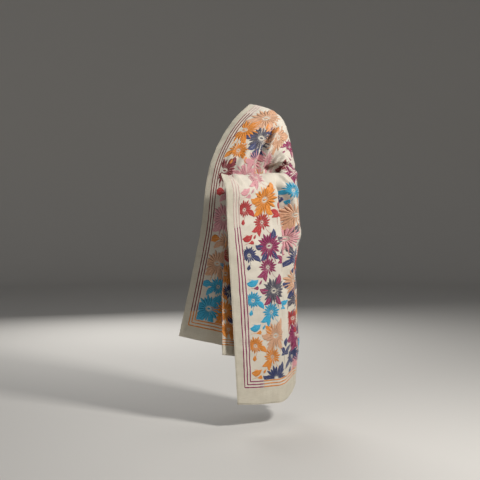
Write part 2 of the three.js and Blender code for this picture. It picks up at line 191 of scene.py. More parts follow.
# %% The finer creases
CREASES = [
    # the sharp bottom of the crease between the chest and the arm, and the lips beside it
    (170, -34, 240, -268, 7, -15, 0.35, 0.25),
    (186, -34, 257, -256, 7, 13, 0.35, 0.30),
    (210, -20, 236, -150, 8, -5, 0.40, 0.50),
    # the same for the fold across the crook of the arm
    (262, -204, 372, -136, 8, -14, 0.30, 0.30),
    (290, -170, 420, -88, 9, 8, 0.35, 0.40),
    (400, -118, 470, -52, 8, -9, 0.35, 0.35),
    (446, -54, 512, 20, 8, -9, 0.40, 0.30),
    # small folds from the crook over the elbow
    (598, 12, 522, 118, 9, 5, 0.30, 0.40),
    (524, -20, 506, 96, 8, -6, 0.40, 0.40),
    (500, -30, 480, 66, 8, 4, 0.40, 0.40),
    (606, 60, 594, 176, 9, -7, 0.40, 0.40),
    # the sharp bottom of the deep fold beside the panel, and a ridge that eases it at the panel's foot
    (622, 40, 608, 340, 8, -12, 0.20, 0.30),
    (604, 280, 660, 780, 9, -10, 0.25, 0.30),
    (664, 700, 672, 1080, 17, 10, 0.30, 0.10),
    # the valley on the other side of that fold
    (597, 70, 590, 440, 16, -13, 0.30, 0.30),
    (552, 90, 550, 440, 14, 5, 0.30, 0.40),
    (612, 400, 594, 780, 13, -10, 0.25, 0.40),
    (590, 720, 560, 1040, 11, -7, 0.30, 0.30),
    # soft pleats on the chest, above the panel
    (132, -200, 118, -340, 9, -7.0, 0.40, 0.40),
    (154, -190, 146, -350, 9, 6.0, 0.40, 0.40),
    (100, -180, 80, -330, 9, 4.0, 0.40, 0.40),
    (190, -200, 196, -330, 8, -5.0, 0.40, 0.40),
    # over the shoulder and the upper arm
    (60, -120, 98, 40, 9, 1.5, 0.5, 0.5),
    (128, -30, 240, -120, 8, 1.8, 0.4, 0.5),
    (190, 20, 330, -60, 9, -1.8, 0.4, 0.5),
    (262, -20, 322, -130, 8, -2.0, 0.4, 0.5),
    (300, 70, 388, 20, 9, 1.8, 0.5, 0.5),
    # in the crook of the arm
    (330, -150, 420, -60, 8, -2.6, 0.4, 0.4),
    (352, -110, 452, -30, 7, 2.6, 0.4, 0.4),
    (388, -90, 500, 30, 8, -2.4, 0.4, 0.5),
    (428, -60, 540, 70, 7, 2.2, 0.4, 0.5),
    # on the panel that hangs from the forearm
    (866, -40, 796, 120, 8, -7.5, 0.3, 0.6),
    (846, -36, 778, 130, 8, 6.5, 0.3, 0.6),
    (776, -44, 728, 150, 9, -7.0, 0.3, 0.6),
    (750, -36, 704, 160, 9, 5.5, 0.3, 0.6),
    (792, 60, 730, 260, 10, 2.0, 0.4, 0.6),
    (700, -36, 672, 140, 9, -6.5, 0.3, 0.6),
    (700, 90, 660, 330, 10, -2.4, 0.4, 0.6),
    (826, 260, 838, 560, 13, -2.6, 0.4, 0.5),
    (744, 380, 752, 700, 13, 2.2, 0.5, 0.5),
    (676, 320, 668, 820, 13, -2.2, 0.5, 0.4),
    (864, 620, 858, 930, 12, 2.2, 0.5, 0.3),
    (780, 700, 790, 1000, 14, -2.6, 0.5, 0.3),
    # at the side, behind the deep fold
    (520, 180, 590, 330, 9, 2.4, 0.4, 0.5),
    (500, 330, 572, 470, 10, -2.6, 0.4, 0.5),
    (560, 520, 500, 680, 11, 2.2, 0.4, 0.5),
    (510, 720, 556, 900, 11, -2.2, 0.5, 0.4),
    # over the chest
    (30, -250, 64, -700, 12, 1.6, 0.4, 0.5),
    (96, -320, 150, -560, 12, -2.0, 0.4, 0.5),
    (150, -230, 176, -420, 10, 1.8, 0.4, 0.5),
    (60, -620, 40, -980, 12, -1.8, 0.5, 0.2),
    # on the back
    (70, 120, 160, 300, 11, -2.0, 0.4, 0.5),
    (180, 100, 250, 330, 11, 2.0, 0.4, 0.5),
    (330, 120, 380, 300, 10, -2.0, 0.4, 0.5),
]
print(len(CREASES), "creases")

# %% Smooth lines through places
def smooth_line(knots, places, at):
    """A line that passes each place at its knot: cubic pieces whose slope at a place is the mean of the
    slopes on both sides, the nearer side counting more. knots (n), places (n, ...), at (m)."""
    step = np.diff(knots).reshape(-1, *[1] * (places.ndim - 1))
    slope = np.diff(places, axis=0) / step
    tangent = np.empty_like(places)
    tangent[1:-1] = (step[1:] * slope[:-1] + step[:-1] * slope[1:]) / (step[1:] + step[:-1])
    tangent[0] = 1.5 * slope[0] - 0.5 * tangent[1]
    tangent[-1] = 1.5 * slope[-1] - 0.5 * tangent[-2]
    piece = np.clip(np.searchsorted(knots, at, side="right") - 1, 0, len(knots) - 2)
    span = step[piece]
    t = (at - knots[piece]).reshape(span.shape) / span
    return (((2 * t - 3) * t * t + 1) * places[piece] + ((t - 2) * t + 1) * t * span * tangent[piece]
            + (3 - 2 * t) * t * t * places[piece + 1] + (t - 1) * t * t * span * tangent[piece + 1])


def length_knots(places):
    """The length from the crest to each place, divided by that half's length: -1 to 0 to +1."""
    lengths = np.concatenate([[0], np.cumsum(np.linalg.norm(np.diff(places, axis=0), axis=1))])
    from_crest = lengths - lengths[CREST_PLACE]
    return np.where(from_crest < 0, from_crest / lengths[CREST_PLACE], from_crest / from_crest[-1])


def smooth_step(x):
    """0 below 0, 1 above 1, and 3x^2 - 2x^3 between."""
    x = np.clip(x, 0, 1)
    return x * x * (3 - 2 * x)


fall_across = np.array([fall[0] for fall in FALLS], float)
fall_places = np.array([fall[1:] for fall in FALLS], float)
fall_knots = np.array([length_knots(places) for places in fall_places])

# %% The cloth's middle surface
HALF_LENGTH = 1000.0  # the folds' tables count each half of the cloth as this long


def smooth_form(across, along):
    """The form without folds, on a grid: a smooth line down each fall, then across from fall to fall."""
    courses = np.array([smooth_line(k, p, along) for k, p in zip(fall_knots, fall_places)])
    return smooth_line(fall_across, courses, across)


def fold_height(across, along, folds):
    """The sum of all folds: height x fade x exp(-(distance to the fold's line / half breadth)^2)."""
    u, v = np.meshgrid(across, along * HALF_LENGTH, indexing="ij")
    height = np.zeros_like(u)
    for u0, v0, u1, v1, breadth, rise_to, rise, fade in folds:
        run_u, run_v = u1 - u0, v1 - v0
        share = ((u - u0) * run_u + (v - v0) * run_v) / (run_u ** 2 + run_v ** 2)
        near = np.clip(share, 0, 1)
        distance = np.hypot(u - u0 - near * run_u, v - v0 - near * run_v)
        strength = smooth_step(share / rise) * smooth_step((1 - share) / fade)
        height += rise_to * strength * np.exp(-(distance / breadth) ** 2)
    return height


def unit_cross(crosswise, lengthwise):
    """The cross product of two grids of vectors, divided by its own length."""
    normal = np.cross(crosswise, lengthwise)
    return normal / np.linalg.norm(normal, axis=2, keepdims=True)


# %% [markdown]
# The surface is worked out once on a fine grid, with shorter rows over the arm where it bends most.
# Everything that lies on the cloth, its hems and each stitched petal, is placed through this grid, so
# it touches the cloth everywhere.

# %% The fine grid
# Columns of both tables: from, to, cells
ACROSS_BANDS = [(0, 150, 21), (150, 290, 34), (290, 400, 18), (400, 560, 26), (560, 700, 31),
                (700, 900, 24)]
ALONG_BANDS = [(-1.0, -0.3, 82), (-0.3, 0.3, 130), (0.3, 1.0, 86)]


def band_lines(bands):
    """The grid lines of a table of bands, both ends included."""
    return np.concatenate([np.linspace(a, b, n, endpoint=False) for a, b, n in bands] + [[bands[-1][1]]])


grid_across, grid_along = band_lines(ACROSS_BANDS), band_lines(ALONG_BANDS)
print(len(grid_across), "lines across and", len(grid_along), "along")

# %% The direction of the folds
NUDGE_ACROSS = 2.0  # mm to both sides of a grid line
NUDGE_ALONG = 0.002


def form_normals(across, along):
    """Unit normals of the form without folds, from its differences a nudge to both sides."""
    crosswise = smooth_form(across + NUDGE_ACROSS, along) - smooth_form(across - NUDGE_ACROSS, along)
    lengthwise = smooth_form(across, along + NUDGE_ALONG) - smooth_form(across, along - NUDGE_ALONG)
    return unit_cross(crosswise, lengthwise)


# %% The crumple, and the finished surface
CRUMPLE_WAVES = 28
SHORTEST_WAVE, LONGEST_WAVE = 30, 88
WAVE_HEIGHT = 0.23
WAVE_SHIFT = 1.7
GOLDEN_ANGLE = 2.399963
GOLDEN_SHARE = 0.618034


def crumple(across, along):
    """The unrest of worked silk: the sum of many low waves, about 0.9 mm. Each next wave is turned by
    the golden angle, and its length moves on by the golden share of the range."""
    u, v = np.meshgrid(across, along * HALF_LENGTH, indexing="ij")
    height = np.zeros_like(u)
    for number in range(CRUMPLE_WAVES):
        angle = GOLDEN_ANGLE * number
        wave = SHORTEST_WAVE + (LONGEST_WAVE - SHORTEST_WAVE) * (GOLDEN_SHARE * number % 1)
        course = u * math.cos(angle) + v * math.sin(angle)
        height += np.cos(2 * math.pi * course / wave + WAVE_SHIFT * number)
    return WAVE_HEIGHT * height


lift = fold_height(grid_across, grid_along, FOLDS + CREASES) + crumple(grid_across, grid_along)
middle = smooth_form(grid_across, grid_along) + form_normals(grid_across, grid_along) * lift[..., None]
normals = unit_cross(np.gradient(middle, axis=0), np.gradient(middle, axis=1))
print("grid of", middle.shape[:2], "points")


# %% Places on the cloth
# mm from the first hem to the crest, along both long edges
CREST_AT_NECK = 1090
CREST_AT_HAND = 950


def crest_from_first_hem(across):
    """The crest's distance from the first hem: a straight line from the neck edge to the hand edge."""
    return CREST_AT_NECK - (CREST_AT_NECK - CREST_AT_HAND) * across / CLOTH_WIDTH


def along_of(across, from_first):
    """A distance from the first hem as along: each half of the cloth is scaled to its own length."""
    crest = crest_from_first_hem(across)
    past = from_first - crest
    return np.where(past < 0, past / crest, past / (CLOTH_LENGTH - crest))


def from_first_of(across, along):
    """The reverse of along_of."""
    crest = crest_from_first_hem(across)
    return np.where(along < 0, crest * (1 + along), crest + (CLOTH_LENGTH - crest) * along)


def on_cloth(across, from_first, height):
    """Points at a height over the middle surface, by straight interpolation within the fine grid."""
    i = np.interp(across, grid_across, np.arange(len(grid_across)))
    j = np.interp(along_of(across, from_first), grid_along, np.arange(len(grid_along)))
    i0 = np.clip(i.astype(int), 0, len(grid_across) - 2)
    j0 = np.clip(j.astype(int), 0, len(grid_along) - 2)
    a, b = (i - i0)[..., None], (j - j0)[..., None]

    def between(grid):
        return ((1 - a) * ((1 - b) * grid[i0, j0] + b * grid[i0, j0 + 1])
                + a * ((1 - b) * grid[i0 + 1, j0] + b * grid[i0 + 1, j0 + 1]))

    return between(middle) + between(normals) * height[..., None]


# %% [markdown]
# ## From arrays to meshes
#
# A mesh can be grown face by face with bmesh, but arrays are far quicker. One helper takes points,
# faces of one size or several, and a place on the cloth for each point, which becomes the UV map in
# metres.

# %% Mesh helper
def new_piece(name, points, face_sets, places):
    """A mesh object from points in mm, a list of arrays of faces, and (across, down) in mm per point."""
    loops = np.concatenate([faces.ravel() for faces in face_sets]).astype(np.int32)
    sizes = np.concatenate([np.full(len(faces), faces.shape[1]) for faces in face_sets])
    starts = np.concatenate([[0], np.cumsum(sizes)[:-1]]).astype(np.int32)
    mesh = bpy.data.meshes.new(name)
    mesh.vertices.add(len(points))
    mesh.vertices.foreach_set("co", (points * MM).astype(np.float32).ravel())
    mesh.loops.add(len(loops))
    mesh.loops.foreach_set("vertex_index", loops)
    mesh.polygons.add(len(starts))
    mesh.polygons.foreach_set("loop_start", starts)
    uv = mesh.uv_layers.new(name="cloth")
    uv.data.foreach_set("uv", (places[loops] * MM).astype(np.float32).ravel())
    mesh.update(calc_edges=True)
    mesh.validate()
    mesh.polygons.foreach_set("use_smooth", np.ones(len(mesh.polygons), bool))
    piece = bpy.data.objects.new(name, mesh)
    bpy.context.scene.collection.objects.link(piece)
    print(f"{name}: {len(points)} points, {int((sizes - 2).sum())} triangles")
    return piece


# %% [markdown]
# ## The cloth
#
# The cloth is a closed thin sheet: the grid moved out by half its thickness, the same grid moved in,
# and a rim of quads around the edge. Solidify would do the same, but building both faces keeps one UV
# map for the two of them, and a stitched flower shows on both sides of a kantha.

# %% The cloth
CLOTH_THICKNESS = 1.0


def sheet_faces(columns, rows):
    """Quads of both faces and the rim of a closed sheet, the second face pointing the other way."""
    index = np.arange(columns * rows).reshape(columns, rows)
    other = index + columns * rows
    outer = np.stack([index[:-1, :-1], index[1:, :-1], index[1:, 1:], index[:-1, 1:]], -1)
    inner = np.stack([other[:-1, :-1], other[:-1, 1:], other[1:, 1:], other[1:, :-1]], -1)
    edge = np.concatenate([index[:, 0], index[-1, 1:], index[-2::-1, -1], index[0, -2:0:-1]])
    ahead = np.roll(edge, -1)
    rim = np.stack([edge + columns * rows, ahead + columns * rows, ahead, edge], -1)
    return np.concatenate([outer.reshape(-1, 4), inner.reshape(-1, 4), rim])


grid_u, grid_t = np.meshgrid(grid_across, grid_along, indexing="ij")
grid_places = np.stack([grid_u, from_first_of(grid_u, grid_t)], -1).reshape(-1, 2)
half = CLOTH_THICKNESS / 2
faces_out = (middle + normals * half).reshape(-1, 3)
faces_in = (middle - normals * half).reshape(-1, 3)
cloth = new_piece("tussar_cloth", np.concatenate([faces_out, faces_in]),
                  [sheet_faces(*middle.shape[:2])], np.concatenate([grid_places] * 2))

# %% [markdown]
# ## Threads that lie on the cloth
#
# Every hem, stitched line, petal and leaf is the same thing to a mesh: a small closed section carried
# along a path on the cloth. The section's width changes along the path, which draws the shape. One
# function carries any number of paths at once, because they are rows of the same arrays.

# %% Carried sections
# The embroidered field lies between these places, across and from the first hem
FIELD_ACROSS = (59.5, 833.5)
FIELD_DOWN = (86.5, 1892.5)
SQUEEZE = 0.02


def within(value, limits):
    """A value held inside limits: what lies beyond keeps only a fiftieth of its distance."""
    inside = np.clip(value, *limits)
    return inside + SQUEEZE * (value - inside)


def carry(across, down, width, rise, sink, spans, face, stop=False):
    """Closed tubes along paths on the cloth.

    across, down: (paths, stations) the centre line in mm, down counted from the first hem
    width: (paths, stations) half the section's width
    rise, sink: heights of the crown over the middle surface, one or one per path, and of the underside
    spans: how many flat spans the crown has; face: +1 for the outer face, -1 for the inner one
    stop: whether the sections end at the edge of the embroidered field

    The crown follows 1 - s^4 from edge to edge, and one point in the middle closes the underside.
    Returns points, faces as [quads, caps] and a UV place per point: (offset, length along the path)."""
    paths, stations = across.shape
    du, dv = np.gradient(across, axis=1), np.gradient(down, axis=1)
    step = np.hypot(du, dv)
    side_u, side_v = -dv / step, du / step
    share = np.linspace(-1, 1, spans + 1)
    share = np.append(share, 0)
    arch = np.append(1 - share[:-1] ** 4, 0)
    crown = sink + (np.reshape(rise, (-1, 1, 1)) - sink) * arch
    offset = width[..., None] * share
    u = across[..., None] + side_u[..., None] * offset
    v = down[..., None] + side_v[..., None] * offset
    if stop:
        u, v = within(u, FIELD_ACROSS), within(v, FIELD_DOWN)
    points = on_cloth(u, v, face * np.broadcast_to(crown, u.shape)).reshape(-1, 3)
    around = spans + 2
    index = np.arange(paths * stations * around).reshape(paths, stations, around)
    ahead = np.roll(index, -1, axis=2)
    quads = np.stack([index[:, :-1], index[:, 1:], ahead[:, 1:], ahead[:, :-1]], -1).reshape(-1, 4)
    caps = np.concatenate([index[:, 0], index[:, -1, ::-1]])
    if face < 0:
        quads, caps = quads[:, ::-1], caps[:, ::-1]
    run = np.cumsum(np.hypot(np.diff(across, axis=1, prepend=across[:, :1]),
                             np.diff(down, axis=1, prepend=down[:, :1])), axis=1)
    places = np.stack([offset, np.broadcast_to(run[..., None], offset.shape)], -1).reshape(-1, 2)
    return points, [quads, caps], places


def carry_on_both(across, down, width, rise, sink, spans, stop=False):
    """The same tubes on the outer face and on the inner one: two results of carry."""
    return [carry(across, down, width, rise, sink, spans, face, stop) for face in (1, -1)]


def join(parts):
    """Several results of carry as one: face numbers are raised by the points that come before."""
    before = np.cumsum([0] + [len(points) for points, _, _ in parts])
    face_sets = [faces + start for start, (_, sets, _) in zip(before, parts) for faces in sets]
    return (np.concatenate([points for points, _, _ in parts]), face_sets,
            np.concatenate([places for _, _, places in parts]))


# %% [markdown]
# ## The rolled hems
#
# The cut edges of the silk are rolled and sewn: a thin bead around all four sides, just proud of both
# faces. It hides the sheet's square rim.

# %% Rolled hems
HEM_BEAD = 1.7
HEM_RISE = 1.15
HEM_INSET = HEM_BEAD * 0.6  # from the cut edge to the middle of the bead
EDGE_STEP = 6.0


def edge_path(start, end):
    """Stations about every 6 mm on the straight line between two places on the cloth."""
    count = max(2, int(math.dist(start, end) / EDGE_STEP) + 1)
    share = np.linspace(0, 1, count)[None]
    return start[0] + (end[0] - start[0]) * share, start[1] + (end[1] - start[1]) * share


corners = [(HEM_INSET, HEM_INSET), (CLOTH_WIDTH - HEM_INSET, HEM_INSET),
           (CLOTH_WIDTH - HEM_INSET, CLOTH_LENGTH - HEM_INSET), (HEM_INSET, CLOTH_LENGTH - HEM_INSET)]
hem_parts = []
for start, end in zip(corners, corners[1:] + corners[:1]):
    across, down = edge_path(start, end)
    hem_parts += carry_on_both(across, down, np.full_like(across, HEM_BEAD), HEM_RISE, 0.0, spans=4)
hems = new_piece("rolled_hems", *join(hem_parts))

# %% [markdown]
# ## Flowers and leaves
#
# A kantha flower is a set of pointed shapes worked outwards from a small oval. Each shape is a blade:
# it starts at its root, runs outwards, bends a little, swells to its belly and narrows to its tip. A
# flower is then a fan or two of petals and a few leaves, drawn once and used all over the cloth.

# %% The shape of a blade
PETAL_BELLY = 0.62


def fan(first, last, count, root, reach, half_width):
    """Petals at even angles from first to last, in degrees, that start at root mm from the centre. They
    are by turns a tenth longer and a tenth shorter than reach."""
    return [(angle, root, reach * (1 + 0.10 * (-1) ** k), half_width, 0.0, PETAL_BELLY)
            for k, angle in enumerate(np.linspace(first, last, count))]


# Each flower has a list of petals and a list of leaves
# Columns of a blade: angle, root's distance from the centre, length, half width, bend, belly
FLOWERS = {
    "daisy": (fan(-14, 194, 12, 6, 34, 5.9) + fan(212, 328, 6, 6, 27, 5.5), [
        (-38, 12, 54, 14.0, 7, 0.44),
        (220, 12, 52, 14.0, -7, 0.44),
        (268, 20, 30, 1.4, 3, 0.50),
        (262, 42, 27, 10.0, 0, 0.62),
    ]),
    "aster": (fan(-32, 212, 13, 6, 35, 6.0) + fan(230, 310, 4, 6, 28, 5.6), [
        (212, 12, 54, 14.5, 8, 0.44),
        (256, 14, 50, 13.0, -7, 0.46),
        (236, 60, 24, 7.0, 0, 0.56),
        (-52, 20, 56, 1.3, -5, 0.50),
    ]),
    "lotus": (fan(0, 342, 20, 9, 48, 8.4) + fan(256, 286, 3, 46, 32, 2.6), [
        (64, 28, 50, 17.0, -8, 0.42),
        (166, 28, 44, 15.5, 9, 0.42),
        (226, 28, 50, 15.0, 8, 0.44),
        (302, 26, 50, 15.0, -8, 0.44),
    ]),
    "half_leaf": ([], [
        (14, -24, 54, 18.0, -9, 0.38),
        (-36, -16, 42, 1.4, 9, 0.50),
    ]),
    "trumpet": ([], [
        (4, -24, 38, 1.4, 2, 0.50),
        (4, 2, 24, 11.0, 0, 0.80),
    ]),
    "sprig": ([], [
        (96, -40, 84, 1.4, 5, 0.50),
        (92, 30, 38, 11.5, 3, 0.45),
        (38, 2, 48, 13.0, 6, 0.42),
        (146, 0, 46, 13.0, -6, 0.42),
        (14, -28, 42, 11.5, 6, 0.42),
        (168, -26, 40, 11.5, -6, 0.42),
    ]),
}
# Half width and half height of the oval in the middle of a flower
OVALS = {"daisy": (9.0, 7.0), "aster": (9.0, 7.0), "lotus": (17.0, 11.0)}
print({kind: len(petals) + len(leaves) for kind, (petals, leaves) in FLOWERS.items()})

# %% [markdown]
# The layout follows how such a cloth is drawn before it is sewn: the same few flowers repeat about
# every 200 mm up from each hem, in lengthwise columns, and both ends stand upright when they hang. The
# colours change from one repeat to the next.

# %% The layout of the flowers
# Columns: across, flower, first one's distance from that end's hem, spacing, turn,
#          thread of each repeat from the hem upwards, as flower/leaf where its leaves differ
SECOND_END = [
    (811, "daisy", 262, 201, 0, "orange turquoise navy red"),
    (810, "half_leaf", 148, 199, 0, "orange turquoise turquoise red pink"),
    (806, "trumpet", 117, 199, 0, "orange orange magenta red pink"),
    (706, "lotus", 108, 0, 0, "navy"),
    (708, "lotus", 296, 196, 0, "peach grey/magenta magenta/navy orange"),
    (748, "half_leaf", 318, 0, 100, "orange"),
    (727, "aster", 204, 197, 0, "orange turquoise magenta red pink"),
    (648, "sprig", 204, 200, -12, "navy turquoise magenta red"),
    (562, "lotus", 258, 238, 8, "magenta peach/navy"),
    (596, "lotus", 690, 0, -8, "pink/grey"),
    (560, "lotus", 792, 0, 8, "peach"),
    (562, "daisy", 902, 0, -14, "turquoise"),
    (556, "daisy", 134, 0, 10, "pink"),
    (592, "daisy", 168, 0, -14, "navy"),
    (582, "daisy", 334, 0, 14, "red"),
    (560, "daisy", 414, 184, -14, "grey navy"),
    (520, "half_leaf", 262, 200, 20, "navy grey grey peach"),
    (470, "lotus", 172, 200, -6, "turquoise peach/orange red grey/magenta magenta"),
    (450, "aster", 270, 200, 0, "orange navy magenta turquoise"),
    (372, "lotus", 110, 200, 4, "orange magenta/navy peach/orange turquoise pink"),
    (384, "daisy", 212, 200, 0, "navy orange turquoise red"),
    (300, "sprig", 160, 200, 8, "magenta navy red turquoise"),
    (262, "lotus", 262, 200, -6, "grey/magenta turquoise orange maroon"),
    (232, "aster", 156, 200, 0, "turquoise red magenta navy"),
    (152, "lotus", 128, 200, 0, "peach/orange magenta/navy turquoise orange"),
    (160, "daisy", 232, 200, 0, "red navy orange magenta"),
    (86, "half_leaf", 170, 200, 180, "turquoise orange red navy"),
    (634, "half_leaf", 884, 0, 80, "navy"),
    (622, "half_leaf", 858, 0, 96, "navy"),
    (634, "trumpet", 806, 0, 90, "red"),
    (632, "half_leaf", 776, 0, 84, "red"),
    (452, "half_leaf", 972, 0, 30, "magenta"),
]
FIRST_END = [
    (106, "lotus", 140, 193, 0, "turquoise peach pink"),
    (82, "lotus", 719, 196, 0, "maroon orange"),
    (130, "daisy", 238, 193, 0, "turquoise peach pink"),
    (110, "daisy", 817, 0, 0, "orange"),
    (78, "half_leaf", 236, 193, 180, "turquoise orange red"),
    (188, "lotus", 142, 193, 10, "orange turquoise red pink"),
    (168, "lotus", 905, 0, 24, "grey/navy"),
    (176, "half_leaf", 836, 0, 64, "navy"),
    (156, "half_leaf", 960, 0, 100, "orange"),
    (206, "aster", 238, 193, 0, "navy magenta orange pink"),
    (120, "lotus", 1000, 0, 40, "peach"),
    (226, "lotus", 968, 0, 10, "peach"),
    (186, "half_leaf", 972, 0, 70, "orange"),
    (306, "daisy", 1018, 0, 20, "magenta"),
    (376, "trumpet", 972, 0, 30, "magenta"),
    (286, "lotus", 180, 196, -8, "magenta/navy peach/orange turquoise orange"),
    (262, "daisy", 84, 196, 0, "orange red navy turquoise pink"),
    (366, "daisy", 142, 196, 0, "turquoise magenta red peach"),
    (372, "aster", 240, 196, 12, "peach navy orange pink"),
    (462, "lotus", 142, 196, 0, "red turquoise magenta/navy grey/magenta maroon"),
    (470, "daisy", 244, 196, 0, "orange navy turquoise magenta"),
    (556, "aster", 150, 196, 0, "turquoise peach red pink grey"),
    (566, "lotus", 250, 196, 6, "orange magenta/navy turquoise peach"),
    (656, "lotus", 142, 196, 0, "peach/orange grey/magenta orange red pink"),
    (664, "daisy", 244, 196, 0, "navy turquoise magenta peach"),
    (752, "aster", 138, 196, 0, "orange navy peach turquoise pink"),
    (776, "lotus", 232, 196, 0, "orange/navy orange peach/orange pink"),
    (806, "daisy", 134, 196, 0, "orange orange red magenta pink"),
]
print(len(SECOND_END), "and", len(FIRST_END), "rows of flowers")

# %% The path of a blade
STATIONS = 9
MINIMUM_HALF_WIDTH = 0.25


def swell(share, belly):
    """Half width along a blade: (s / b)^0.7 up to its belly b, then 1 - ((s - b) / (1 - b))^1.8."""
    share = np.clip(share, 1e-4, 1)
    past = np.clip((share - belly) / (1 - belly), 0, 1)
    return np.where(share < belly, (share / belly) ** 0.7, 1 - past ** 1.8)


def blade_paths(blades, centre, upright, turn, size):
    """Centre lines and half widths of a flower's blades on the cloth. Each runs out from the centre at
    its angle and leaves the straight line by bend x 4 s (1 - s)."""
    angle = np.radians(np.array([b[0] for b in blades]) + turn)[:, None]
    root, length, half_width, bend, belly = (np.array([b[k] for b in blades])[:, None] for k in range(1, 6))
    share = np.linspace(0, 1, STATIONS)[None]
    out = root + length * share
    aside = bend * 4 * share * (1 - share)
    x = size * (out * np.cos(angle) - aside * np.sin(angle))
    y = size * (out * np.sin(angle) + aside * np.cos(angle))
    width = np.maximum(size * half_width * swell(share, belly), MINIMUM_HALF_WIDTH)
    return centre[0] + upright * x, centre[1] + upright * y, width


# %% Every blade on the cloth
PETALS_OVER = 0.3  # petals lie this much higher than the leaves that come out from under them
WOBBLE = 5  # degrees
SIZE_SPREAD = 0.04
OVAL_ROOM = 20  # a flower whose centre is nearer than this to the field's end has no middle


def unevenness(number):
    """A value from -1 to 1 that jumps about with the number, the same each time."""
    return 2 * ((math.sin(number * 12.9898) * 43758.5453) % 1) - 1


paths_by_thread = {}
ovals_by_thread = {}
flower_count = 0
for row, upright in [(row, -1) for row in SECOND_END] + [(row, 1) for row in FIRST_END]:
    across, kind, first, spacing, turn, threads = row
    for repeat, pair in enumerate(threads.split()):
        distance = first + spacing * repeat
        down = distance if upright > 0 else CLOTH_LENGTH - distance
        flower_count += 1
        wobble = turn + WOBBLE * unevenness(flower_count)
        size = 1 + SIZE_SPREAD * unevenness(flower_count + 0.5)
        petal_thread, leaf_thread = (pair.split("/") * 2)[:2]
        petals, leaves = FLOWERS[kind]
        for blades, thread, over in ((petals, petal_thread, PETALS_OVER), (leaves, leaf_thread, 0.0)):
            if blades:
                paths = blade_paths(blades, (across, down), upright, wobble, size)
                heights = np.full((len(blades), 1), over)
                paths_by_thread.setdefault(thread, []).append((*paths, heights))
        if kind in OVALS and FIELD_DOWN[0] + OVAL_ROOM < down < FIELD_DOWN[1] - OVAL_ROOM:
            oval = (across, down, wobble, size * np.array(OVALS[kind]))
            ovals_by_thread.setdefault(petal_thread, []).append(oval)
print(flower_count, "flowers in", sorted(paths_by_thread))

# %% [markdown]
# Leaves stand about half a millimetre proud of the silk, petals a little more, and a flower's middle
# and its ring most, as threads that are worked over each other do. Broad blades need more spans over
# their crown than narrow ones, so that they follow the folds underneath.

# %% How high the threads lie
THREAD_RISE = CLOTH_THICKNESS / 2 + 0.55
THREAD_SINK = CLOTH_THICKNESS / 2 - 0.25
LAYER = 0.03  # each further thread lies this much higher, where two flowers overlap
VEIN_RISE = THREAD_RISE + 0.34
RING_RISE = THREAD_RISE + 0.70
MIDDLE_RISE = RING_RISE + 0.05
BROAD = 9.0  # a blade of more than this half width has six spans and a vein
FIELD_SHARE = 0.34  # a blade is worked if more than this share of it lies in the embroidered field
print(f"threads stand {THREAD_RISE - CLOTH_THICKNESS / 2:.2f} mm or more over the silk")


def in_field(across, down):
    """Which rows of stations have enough of their length in the embroidered field."""
    inside = ((across > FIELD_ACROSS[0]) & (across < FIELD_ACROSS[1])
              & (down > FIELD_DOWN[0]) & (down < FIELD_DOWN[1]))
    return inside.mean(axis=1) > FIELD_SHARE


# %% Blades and veins
def carried_blades(across, down, width, rise):
    """The blades on both faces of the cloth, with six crown spans for broad ones and two for the rest."""
    broad = width.max(axis=1) > BROAD
    inside = in_field(across, down)
    parts = []
    for chosen, spans in ((broad & inside, 6), (~broad & inside, 2)):
        if chosen.any():
            parts += carry_on_both(across[chosen], down[chosen], width[chosen], rise[chosen],
                                   THREAD_SINK, spans, stop=True)
    return parts


def carried_veins(across, down, width):
    """A fine pale line of stitches along the middle of each broad blade: 0.25 mm and a 25th of the
    blade's own half width."""
    chosen = (width.max(axis=1) > BROAD) & in_field(across, down)
    across, down, width = across[chosen, 1:-1], down[chosen, 1:-1], width[chosen, 1:-1]
    return carry_on_both(across, down, 0.25 + 0.04 * width, VEIN_RISE, THREAD_SINK, 2, stop=True)


# %% Middles and rings of the flowers
MIDDLE_SHARE = 0.45
RING_SHARE = 0.78
RING_HALF_WIDTH = 1.5


def oval_columns(ovals, share):
    """Places, cosine and sine of the turn, and half sizes times a share, each as a column."""
    across, down, turn = (np.array([oval[k] for oval in ovals])[:, None] for k in range(3))
    long, short = (np.array([oval[3][k] for oval in ovals])[:, None] * share for k in range(2))
    return across, down, np.cos(np.radians(turn)), np.sin(np.radians(turn)), long, short


def carried_middles(ovals):
    """The worked middle of each flower: a short fat blade whose half width follows the root of
    1 - s^2, which makes it an oval."""
    across, down, cosine, sine, long, short = oval_columns(ovals, MIDDLE_SHARE)
    share = np.linspace(-1, 1, 7)[None]
    width = np.maximum(short * np.sqrt(1 - share ** 2), MINIMUM_HALF_WIDTH)
    return carry_on_both(across + long * share * cosine, down + long * share * sine, width,
                         MIDDLE_RISE, THREAD_SINK, 2)


def carried_rings(ovals):
    """The pale ring around each middle: a thin closed line, x = a cos t and y = b sin t."""
    across, down, cosine, sine, long, short = oval_columns(ovals, RING_SHARE)
    around = np.radians(np.linspace(0, 360, 19))[None]
    x, y = long * np.cos(around), short * np.sin(around)
    ring_across = across + x * cosine - y * sine
    ring_down = down + x * sine + y * cosine
    width = np.full_like(ring_across, RING_HALF_WIDTH)
    return carry_on_both(ring_across, ring_down, width, RING_RISE, THREAD_SINK, 2)


